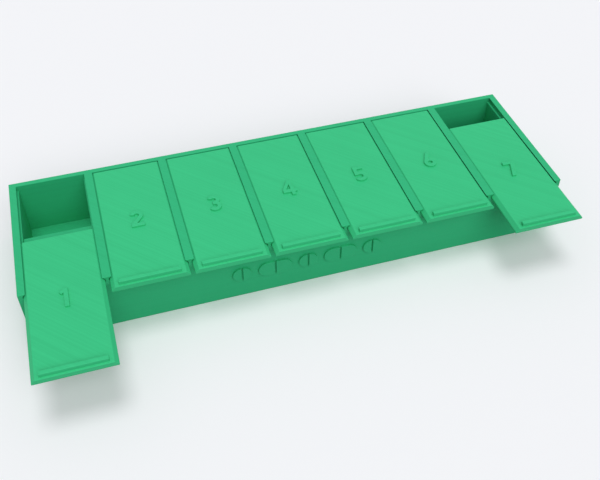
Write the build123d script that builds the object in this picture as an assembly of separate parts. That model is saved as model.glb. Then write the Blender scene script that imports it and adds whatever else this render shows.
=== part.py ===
from build123d import *
import os

# Weekly pill organizer in printed plastic: one tray with a bay for each day, and a lid for each bay.
# A cross wall splits every bay into a front cell and a back cell. The lid lies on the bay's two ledges,
# the undercut rails hold its leaning edges down, and it is drawn out over the tray's front.
# Millimetres, +Z up, -Y to the front. The origin is the middle of the tray's underside.

# Cells, two to a bay
bay_count = 7
cell_width = 24.1
cell_depth = 24.7
cell_height = 20.65

# Walls of the tray; the webs are what is left beside the foot of a lid channel
floor_thickness = 1.7
front_wall = 2.0
back_wall = 2.0
cross_wall = 4.0
cross_wall_drop = 1.8
rail_web = 1.17
end_web = 1.64

# Lid: each side lies on its ledge by the lap, stands upright over the land, then leans in by the run
lid_lap = 1.3
lid_thickness = 2.0
lid_land = 0.7
lid_edge_run = 1.3
lid_overhang = 5.45

# Pull rib across the lid's front end
rib_depth = 1.5
rib_height = 1.5
rib_setback = 0.7
rib_end_inset = 1.45

# Running clearances of a lid in its channel
side_clearance = 0.2
edge_clearance = 0.55
under_clearance = 0.15
top_clearance = 0.05
back_clearance = 0.5

# How far the first and the last lid are drawn out; the others are shut
first_lid_draw = 30.1
last_lid_draw = 14.0

# How far every cutting solid runs past the face it opens
overrun = 1.0

# Widths that follow
channel_inset = lid_lap + side_clearance
bay_wall = rail_web + 2 * channel_inset
end_wall = end_web + channel_inset
bay_pitch = cell_width + bay_wall
tray_length = bay_count * bay_pitch - bay_wall + 2 * end_wall
lid_foot_width = cell_width + 2 * lid_lap
lid_top_width = lid_foot_width - 2 * lid_edge_run
rib_length = lid_top_width - 2 * rib_end_inset

# Depths that follow
bay_depth = cell_depth + cross_wall + cell_depth
tray_depth = front_wall + bay_depth + back_wall
front_face = -tray_depth / 2
bay_front = front_face + front_wall
bay_back = bay_front + bay_depth
bay_middle = (bay_front + bay_back) / 2
lid_back = bay_back - back_clearance
lid_front = front_face - lid_overhang

# Heights that follow
ledge_height = floor_thickness + cell_height
lid_foot = ledge_height + under_clearance
lid_shoulder = lid_foot + lid_land
lid_top = lid_foot + lid_thickness
tray_height = lid_top + top_clearance

on_floor = (Align.CENTER, Align.CENTER, Align.MIN)


def prism_along_y(outline, start, end):
    """Closed outline of (x, z) corners, carried from y = start forwards to y = end."""
    face = make_face(Polyline(*outline, close=True))
    return extrude(Plane.XZ.offset(-start) * face, start - end)


def make_channel():
    """Cut for one lid: its cross section and running clearances, open at the front and the top."""
    edge_lean = lid_edge_run / (lid_top - lid_shoulder)
    foot = lid_foot_width / 2 + side_clearance
    shoulder = lid_shoulder + (edge_clearance - side_clearance) / edge_lean
    mouth = foot - edge_lean * (tray_height - shoulder)
    above = tray_height + overrun
    outline = [
        (-foot, ledge_height),
        (foot, ledge_height),
        (foot, shoulder),
        (mouth, tray_height),
        (mouth, above),
        (-mouth, above),
        (-mouth, tray_height),
        (-foot, shoulder),
    ]
    return prism_along_y(outline, bay_back, front_face - overrun)


def make_tray():
    """Block with two cells to a bay, joined over the low cross wall, and a lid channel over each bay."""
    block = Box(tray_length, tray_depth, tray_height, align=on_floor)
    cell = Box(cell_width, cell_depth, cell_height, align=on_floor)
    gap = Box(cell_width, bay_depth, cross_wall_drop, align=on_floor)
    cells = GridLocations(bay_pitch, cell_depth + cross_wall, bay_count, 2) * cell
    gaps = GridLocations(bay_pitch, bay_depth, bay_count, 1) * gap
    channels = GridLocations(bay_pitch, tray_depth, bay_count, 1) * make_channel()
    tray = block - channels
    tray -= [Pos(0, bay_middle, floor_thickness) * one for one in cells]
    tray -= [Pos(0, bay_middle, ledge_height - cross_wall_drop) * one for one in gaps]
    return tray


def make_lid():
    """Shut lid of the middle bay: a plate with leaning edges, and a square rib to pull it by."""
    foot = lid_foot_width / 2
    top = lid_top_width / 2
    outline = [
        (-foot, lid_foot),
        (foot, lid_foot),
        (foot, lid_shoulder),
        (top, lid_top),
        (-top, lid_top),
        (-foot, lid_shoulder),
    ]
    plate = prism_along_y(outline, lid_back, lid_front)
    rib = Box(rib_length, rib_depth, rib_height, align=on_floor)
    rib_middle = lid_front + rib_setback + rib_depth / 2
    return plate + Pos(0, rib_middle, lid_top) * rib


os.makedirs("parts", exist_ok=True)
export_step(make_tray(), "parts/tray.step")

shut_lid = make_lid()
for bay in range(bay_count):
    draw = first_lid_draw if bay == 0 else last_lid_draw if bay == bay_count - 1 else 0
    bay_x = (bay - (bay_count - 1) / 2) * bay_pitch
    export_step(Pos(bay_x, -draw, 0) * shut_lid, f"parts/lid_{bay + 1}.step")
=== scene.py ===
import math

import bmesh
import bpy
from mathutils import Matrix, Vector


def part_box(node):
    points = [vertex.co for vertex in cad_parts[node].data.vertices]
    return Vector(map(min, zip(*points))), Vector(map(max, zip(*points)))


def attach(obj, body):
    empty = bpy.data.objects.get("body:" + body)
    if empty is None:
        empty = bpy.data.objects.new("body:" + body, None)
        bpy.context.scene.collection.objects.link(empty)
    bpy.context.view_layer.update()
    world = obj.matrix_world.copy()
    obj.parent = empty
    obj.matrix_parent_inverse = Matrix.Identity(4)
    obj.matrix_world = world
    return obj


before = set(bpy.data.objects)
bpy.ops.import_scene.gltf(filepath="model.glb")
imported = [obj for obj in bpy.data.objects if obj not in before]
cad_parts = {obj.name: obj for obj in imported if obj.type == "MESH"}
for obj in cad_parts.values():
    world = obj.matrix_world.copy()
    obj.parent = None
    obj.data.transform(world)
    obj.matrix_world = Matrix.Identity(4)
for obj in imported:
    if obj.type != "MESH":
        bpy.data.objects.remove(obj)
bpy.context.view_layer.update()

# Tray: the organizer's base, one printed piece in mid green plastic with a matte face.
# It is built up in thin layers: its walls show fine level lines, and its level faces slanting ones.
# Its edges are a little soft, because the nozzle can't draw a sharp corner.
layer_height = 0.0002
line_width = 0.00042
line_relief = 0.000014
line_drift = 0.15
level_face_share = 0.9
edge_softness = 0.00015
merge_distance = 0.00001
flat_angle = math.radians(1)
sharp_angle = math.radians(20)
tray_dark = (0.022, 0.416, 0.174, 1)
tray_light = (0.030, 0.498, 0.214, 1)
tray_roughness = (0.50, 0.64)
plastic_specular = 0.2


def math_node(tree, operation, *values):
    """Adds a Math node with its inputs set or linked, and gives its output."""
    node = tree.nodes.new("ShaderNodeMath")
    node.operation = operation
    for socket, value in zip(node.inputs, values):
        if isinstance(value, bpy.types.NodeSocket):
            tree.links.new(value, socket)
        else:
            socket.default_value = value
    return node.outputs["Value"]


def make_printed_lines():
    """Node group of the printed lines: level layers up a wall, slanting lines on a level face."""
    tree = bpy.data.node_groups.new("printed_lines", "ShaderNodeTree")
    for name in ("Layer Height", "Line Width", "Relief"):
        tree.interface.new_socket(name, in_out="INPUT", socket_type="NodeSocketFloat")
    for name in ("Tone", "Height"):
        tree.interface.new_socket(name, in_out="OUTPUT", socket_type="NodeSocketFloat")
    given = tree.nodes.new("NodeGroupInput").outputs
    made = tree.nodes.new("NodeGroupOutput").inputs
    coordinates = tree.nodes.new("ShaderNodeTexCoord")
    place = tree.nodes.new("ShaderNodeSeparateXYZ")
    facing = tree.nodes.new("ShaderNodeSeparateXYZ")
    tree.links.new(coordinates.outputs["Object"], place.inputs[0])
    tree.links.new(coordinates.outputs["Normal"], facing.inputs[0])

    upright = math_node(tree, "ABSOLUTE", facing.outputs["Z"])
    level = math_node(tree, "GREATER_THAN", upright, level_face_share)
    layer = math_node(tree, "DIVIDE", place.outputs["Z"], given["Layer Height"])
    slant = math_node(tree, "ADD", place.outputs["X"], place.outputs["Y"])
    slant = math_node(tree, "DIVIDE", slant, math.sqrt(2))
    raster = math_node(tree, "DIVIDE", slant, given["Line Width"])
    step = math_node(tree, "SUBTRACT", raster, layer)
    line = math_node(tree, "MULTIPLY_ADD", step, level, layer)

    number = math_node(tree, "FLOOR", line)
    single = tree.nodes.new("ShaderNodeTexWhiteNoise")
    single.noise_dimensions = "1D"
    tree.links.new(number, single.inputs["W"])
    drift = tree.nodes.new("ShaderNodeTexNoise")
    drift.noise_dimensions = "1D"
    drift.inputs["Scale"].default_value = line_drift
    tree.links.new(number, drift.inputs["W"])
    tone = math_node(tree, "ADD", single.outputs["Value"], drift.outputs["Fac"])
    tree.links.new(math_node(tree, "DIVIDE", tone, 2), made["Tone"])

    crown = math_node(tree, "SINE", math_node(tree, "MULTIPLY", line, math.pi))
    crown = math_node(tree, "ABSOLUTE", crown)
    tree.links.new(math_node(tree, "MULTIPLY", crown, given["Relief"]), made["Height"])
    return tree


printed_lines = make_printed_lines()


def make_printed_plastic(name, dark, light, roughness):
    """Matte printed plastic: its tone drifts slowly over the piece and from line to line."""
    cloud_scale = 45
    cloud_detail = 3
    line_tone_share = 0.6
    material = bpy.data.materials.new(name)
    material.use_nodes = True
    tree = material.node_tree
    shader = tree.nodes["Principled BSDF"]
    shader.inputs["Specular IOR Level"].default_value = plastic_specular
    lines = tree.nodes.new("ShaderNodeGroup")
    lines.node_tree = printed_lines
    lines.inputs["Layer Height"].default_value = layer_height
    lines.inputs["Line Width"].default_value = line_width
    lines.inputs["Relief"].default_value = line_relief

    coordinates = tree.nodes.new("ShaderNodeTexCoord")
    cloud = tree.nodes.new("ShaderNodeTexNoise")
    cloud.inputs["Scale"].default_value = cloud_scale
    cloud.inputs["Detail"].default_value = cloud_detail
    tree.links.new(coordinates.outputs["Object"], cloud.inputs["Vector"])
    tone = tree.nodes.new("ShaderNodeMix")
    tone.inputs["Factor"].default_value = line_tone_share
    tree.links.new(cloud.outputs["Fac"], tone.inputs["A"])
    tree.links.new(lines.outputs["Tone"], tone.inputs["B"])

    colour = tree.nodes.new("ShaderNodeMix")
    colour.data_type = "RGBA"
    colour.inputs["A"].default_value = dark
    colour.inputs["B"].default_value = light
    tree.links.new(tone.outputs["Result"], colour.inputs["Factor"])
    tree.links.new(colour.outputs["Result"], shader.inputs["Base Color"])

    dull = tree.nodes.new("ShaderNodeMapRange")
    dull.inputs["To Min"].default_value = roughness[0]
    dull.inputs["To Max"].default_value = roughness[1]
    tree.links.new(tone.outputs["Result"], dull.inputs["Value"])
    tree.links.new(dull.outputs["Result"], shader.inputs["Roughness"])

    bump = tree.nodes.new("ShaderNodeBump")
    bump.inputs["Distance"].default_value = 1
    tree.links.new(lines.outputs["Height"], bump.inputs["Height"])
    tree.links.new(bump.outputs["Normal"], shader.inputs["Normal"])
    return material


def soften_edges(piece):
    """Joins the faces of a piece and rounds its sharp edges by the print's own softness."""
    weld = piece.modifiers.new("join_faces", "WELD")
    weld.merge_threshold = merge_distance
    flatten = piece.modifiers.new("clear_flats", "DECIMATE")
    flatten.decimate_type = "DISSOLVE"
    flatten.angle_limit = flat_angle
    soften = piece.modifiers.new("soft_edges", "BEVEL")
    soften.width = edge_softness
    soften.segments = 2
    soften.limit_method = "ANGLE"
    soften.angle_limit = sharp_angle


def finish_piece(piece, material):
    """Gives a piece its one material and its soft edges."""
    piece.data.materials.clear()
    piece.data.materials.append(material)
    soften_edges(piece)


tray_plastic = make_printed_plastic("tray_plastic", tray_dark, tray_light, tray_roughness)
finish_piece(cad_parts["tray"], tray_plastic)

# Lids: seven flat printed plates, in a slightly lighter green than the tray.
# Each one has leaning edges that run under the tray's rails, and a square rib to pull it by.
lid_count = 7
rib_height = 0.0015
lid_dark = (0.031, 0.482, 0.199, 1)
lid_light = (0.043, 0.578, 0.245, 1)
lid_roughness = (0.48, 0.62)
lid_plastic = make_printed_plastic("lid_plastic", lid_dark, lid_light, lid_roughness)
lids = [f"lid_{day}" for day in range(1, lid_count + 1)]
for lid in lids:
    finish_piece(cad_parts[lid], lid_plastic)

# Lid numbers: a plain raised numeral for the day, printed in one with the middle of each lid.
# They are drawn on a grid one high, as broad even strokes with round bowls.
# Their feet go a little way into the lid, so that no gap shows round them.
number_height = 0.008
number_relief = 0.0008
number_foot = 0.0002
bend_step = 12
bowl = 0.2975
bore = 0.1075
upper = (0, 0.7025)
lower = (0, 0.2975)
waist = math.degrees(math.asin((upper[1] - lower[1]) / 2 / bowl))
belly = (-0.02, 0.315)
belly_bowl = 0.315
belly_bore = 0.125

# An outline is a list of corners and bends.
# A bend has a middle, a radius, and the angles in degrees where it starts and ends.
one = [(-0.045, 0), (0.145, 0), (0.145, 1), (-0.01, 1), (-0.23, 0.83), (-0.14, 0.69)]
one += [(-0.045, 0.765)]
two = [(upper, bowl, 165, -40), (-0.042, 0.19), (0.29, 0.19), (0.29, 0), (-0.3, 0), (-0.3, 0.178)]
two += [(upper, bore, -40, 165)]
three = [(upper, bowl, 150, -waist), (lower, bowl, waist, -150), (lower, bore, -150, 90)]
three += [(-0.07, 0.405), (-0.07, 0.595), (upper, bore, -90, 150)]
four = [(0.06, 0), (0.25, 0), (0.25, 0.2), (0.36, 0.2), (0.36, 0.39), (0.25, 0.39), (0.25, 1)]
four += [(0.03, 1), (-0.31, 0.4), (-0.31, 0.2), (0.06, 0.2)]
four_hole = [(0.06, 0.39), (0.06, 0.72), (-0.127, 0.39)]
five = [(-0.25, 1), (0.24, 1), (0.24, 0.81), (-0.075, 0.81)]
five += [(belly, belly_bowl, 100, -150), (belly, belly_bore, -150, 125), (-0.27, 0.43)]
six = [(-0.001, 1), (0.209, 1), (lower, bowl, 86, -205)]
six_hole = [(lower, bore, 0, 360 - bend_step)]
seven = [(-0.28, 1), (0.3, 1), (0.3, 0.84), (0.01, 0), (-0.2, 0), (0.075, 0.81), (-0.28, 0.81)]
numerals = [[one], [two], [three], [four, four_hole], [five], [six, six_hole], [seven]]


def add_piece(name, mesh, body, material):
    """Puts a finished mesh into the scene as a piece that rides on a body."""
    piece = bpy.data.objects.new(name, mesh)
    bpy.context.scene.collection.objects.link(piece)
    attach(piece, body)
    finish_piece(piece, material)


def draw_bend(shape, middle, radius, start, end):
    """Spins a corner round the middle of a bend, and gives the bend's first and last corner."""
    turn = math.radians(start)
    centre = Vector((*middle, 0))
    first = shape.verts.new(centre + radius * Vector((math.cos(turn), math.sin(turn), 0)))
    spun = bmesh.ops.spin(
        shape,
        geom=[first],
        cent=centre,
        axis=(0, 0, 1),
        angle=math.radians(end - start),
        steps=math.ceil(abs(end - start) / bend_step),
    )
    return first, spun["geom_last"][0]


def draw_outline(shape, outline):
    """Draws a closed outline of corners and bends on the level z = 0."""
    ends = []
    for part in outline:
        if len(part) == 2:
            corner = shape.verts.new((*part, 0))
            ends.append((corner, corner))
        else:
            ends.append(draw_bend(shape, *part))
    for here, following in zip(ends, ends[1:] + ends[:1]):
        shape.edges.new((here[1], following[0]))


def raise_outlines(outlines, height, name):
    """Mesh of the flat shape that closed outlines bound, carried up from the level z = 0."""
    shape = bmesh.new()
    for outline in outlines:
        draw_outline(shape, outline)
    bmesh.ops.remove_doubles(shape, verts=shape.verts, dist=merge_distance)
    bmesh.ops.triangle_fill(shape, edges=shape.edges[:], use_beauty=True)
    raised = bmesh.ops.extrude_face_region(shape, geom=shape.faces[:])
    top = [v for v in raised["geom"] if isinstance(v, bmesh.types.BMVert)]
    bmesh.ops.translate(shape, verts=top, vec=(0, 0, height))
    bmesh.ops.recalc_face_normals(shape, faces=shape.faces)
    mesh = bpy.data.meshes.new(name)
    shape.to_mesh(mesh)
    shape.free()
    return mesh


to_middle = Matrix.Translation((0, -0.5, 0))
to_size = Matrix.Diagonal((number_height, number_height, 1, 1))
for day, (lid, outlines) in enumerate(zip(lids, numerals), start=1):
    low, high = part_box(lid)
    place = (low + high) / 2
    place.z = high.z - rib_height - number_foot
    numeral = raise_outlines(outlines, number_foot + number_relief, f"number_{day}")
    numeral.transform(Matrix.Translation(place) @ to_size @ to_middle)
    add_piece(f"number_{day}", numeral, lid, lid_plastic)

# Front relief: a plain row of raised tablets and capsules in the middle of the tray's front.
# Each is flat, with round ends and a score across it, and is printed in one with the tray.
pill_width = 0.0064
score_width = 0.0006
tablet_length = pill_width + score_width
capsule_length = 0.0125
pill_gap = 0.0026
pill_relief = 0.0008
pill_foot = 0.0002
relief_height = 0.0115
pill_lengths = (tablet_length, capsule_length, tablet_length, capsule_length, tablet_length)


def half_pill(middle, length, side):
    """Outline of half a pill that lies along x, from its score to its round end on one side."""
    radius = pill_width / 2
    score = middle + side * score_width / 2
    end = middle + side * (length - pill_width) / 2
    start = -90 * side
    return [(score, -side * radius), ((end, 0), radius, start, start + 180), (score, side * radius)]


halves = []
row_end = -(sum(pill_lengths) + pill_gap * (len(pill_lengths) - 1)) / 2
for length in pill_lengths:
    halves += [half_pill(row_end + length / 2, length, side) for side in (-1, 1)]
    row_end += length + pill_gap
relief = raise_outlines(halves, pill_foot + pill_relief, "front_relief")
tray_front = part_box("tray")[0].y
upright = Matrix.Rotation(math.radians(90), 4, "X")
relief.transform(Matrix.Translation((0, tray_front + pill_foot, relief_height)) @ upright)
add_piece("front_relief", relief, "tray", tray_plastic)

# Floor: the pale table top that the organizer stands on, with the soft shadow under it.
# It looks pale to the camera, and throws back as much light as a mid grey studio floor.
floor_size = 40
floor_bounce = (0.4, 0.4, 0.4, 1)
backdrop_colour = (0.907, 0.916, 0.945, 1)


def seen_directly(tree):
    """1 for a ray that shows the surface itself, to the camera or in a reflection, or else 0."""
    rays = tree.nodes.new("ShaderNodeLightPath").outputs
    seen = math_node(tree, "MAXIMUM", rays["Is Camera Ray"], rays["Is Glossy Ray"])
    return math_node(tree, "MAXIMUM", seen, rays["Is Transmission Ray"])


floor_mesh = bpy.data.meshes.new("floor")
grid = bmesh.new()
bmesh.ops.create_grid(grid, x_segments=1, y_segments=1, size=floor_size / 2)
grid.to_mesh(floor_mesh)
grid.free()
floor = bpy.data.objects.new("floor", floor_mesh)
bpy.context.scene.collection.objects.link(floor)
floor_paint = bpy.data.materials.new("floor_paint")
floor_paint.use_nodes = True
floor_shader = floor_paint.node_tree.nodes["Principled BSDF"]
floor_tone = floor_paint.node_tree.nodes.new("ShaderNodeMix")
floor_tone.data_type = "RGBA"
floor_tone.inputs["A"].default_value = floor_bounce
floor_tone.inputs["B"].default_value = backdrop_colour
floor_links = floor_paint.node_tree.links
floor_links.new(seen_directly(floor_paint.node_tree), floor_tone.inputs["Factor"])
floor_links.new(floor_tone.outputs["Result"], floor_shader.inputs["Base Color"])
floor_shader.inputs["Roughness"].default_value = 1
floor_shader.inputs["Specular IOR Level"].default_value = 0
floor.data.materials.append(floor_paint)

# Light: an even pale room, a soft lamp overhead that reaches down into the open cells,
# and a broad one in front of the organizer, halfway up.
room_strength = 0.4
overhead_strength = 0.92
overhead_spread = math.radians(25)
overhead_from = Vector((0, 0, 1))
front_strength = 1.4
front_spread = math.radians(45)
front_from = Vector((0.09, -0.73, 0.68))
world = bpy.data.worlds.new("room")
bpy.context.scene.world = world
world.use_nodes = True
nodes = world.node_tree.nodes
links = world.node_tree.links
room = nodes["Background"]
room.inputs["Color"].default_value = (1, 1, 1, 1)
room.inputs["Strength"].default_value = room_strength
backdrop = nodes.new("ShaderNodeBackground")
backdrop.inputs["Color"].default_value = backdrop_colour
light_or_look = nodes.new("ShaderNodeMixShader")
links.new(seen_directly(world.node_tree), light_or_look.inputs["Fac"])
links.new(room.outputs["Background"], light_or_look.inputs[1])
links.new(backdrop.outputs["Background"], light_or_look.inputs[2])
links.new(light_or_look.outputs["Shader"], nodes["World Output"].inputs["Surface"])


def add_lamp(name, strength, spread, direction):
    """Puts up one far lamp that shines from the given direction."""
    lamp = bpy.data.objects.new(name, bpy.data.lights.new(name, "SUN"))
    lamp.data.energy = strength
    lamp.data.angle = spread
    lamp.rotation_mode = "QUATERNION"
    lamp.rotation_quaternion = direction.to_track_quat("Z", "Y")
    bpy.context.scene.collection.objects.link(lamp)


add_lamp("overhead_lamp", overhead_strength, overhead_spread, overhead_from)
add_lamp("front_lamp", front_strength, front_spread, front_from)

# Camera: above the organizer's front left, at the photograph's angle and distance.
# Its lens is the one that the tray's corners in the photograph lead to.
camera_azimuth = math.radians(-16.838)
camera_elevation = math.radians(45.584)
camera_place = Vector((-0.061066, -0.220648, 0.226994))
camera_back = Vector((
    math.sin(camera_azimuth) * math.cos(camera_elevation),
    -math.cos(camera_azimuth) * math.cos(camera_elevation),
    math.sin(camera_elevation),
))
camera = bpy.data.objects.new("camera", bpy.data.cameras.new("camera"))
camera.data.sensor_fit = "HORIZONTAL"
camera.data.sensor_width = 36
camera.data.lens = 48.552
camera.data.clip_start = 0.01
camera.location = camera_place
camera.rotation_mode = "QUATERNION"
camera.rotation_quaternion = camera_back.to_track_quat("Z", "Y")
bpy.context.scene.collection.objects.link(camera)
bpy.context.scene.camera = camera

bpy.context.scene.view_settings.view_transform = "Standard"
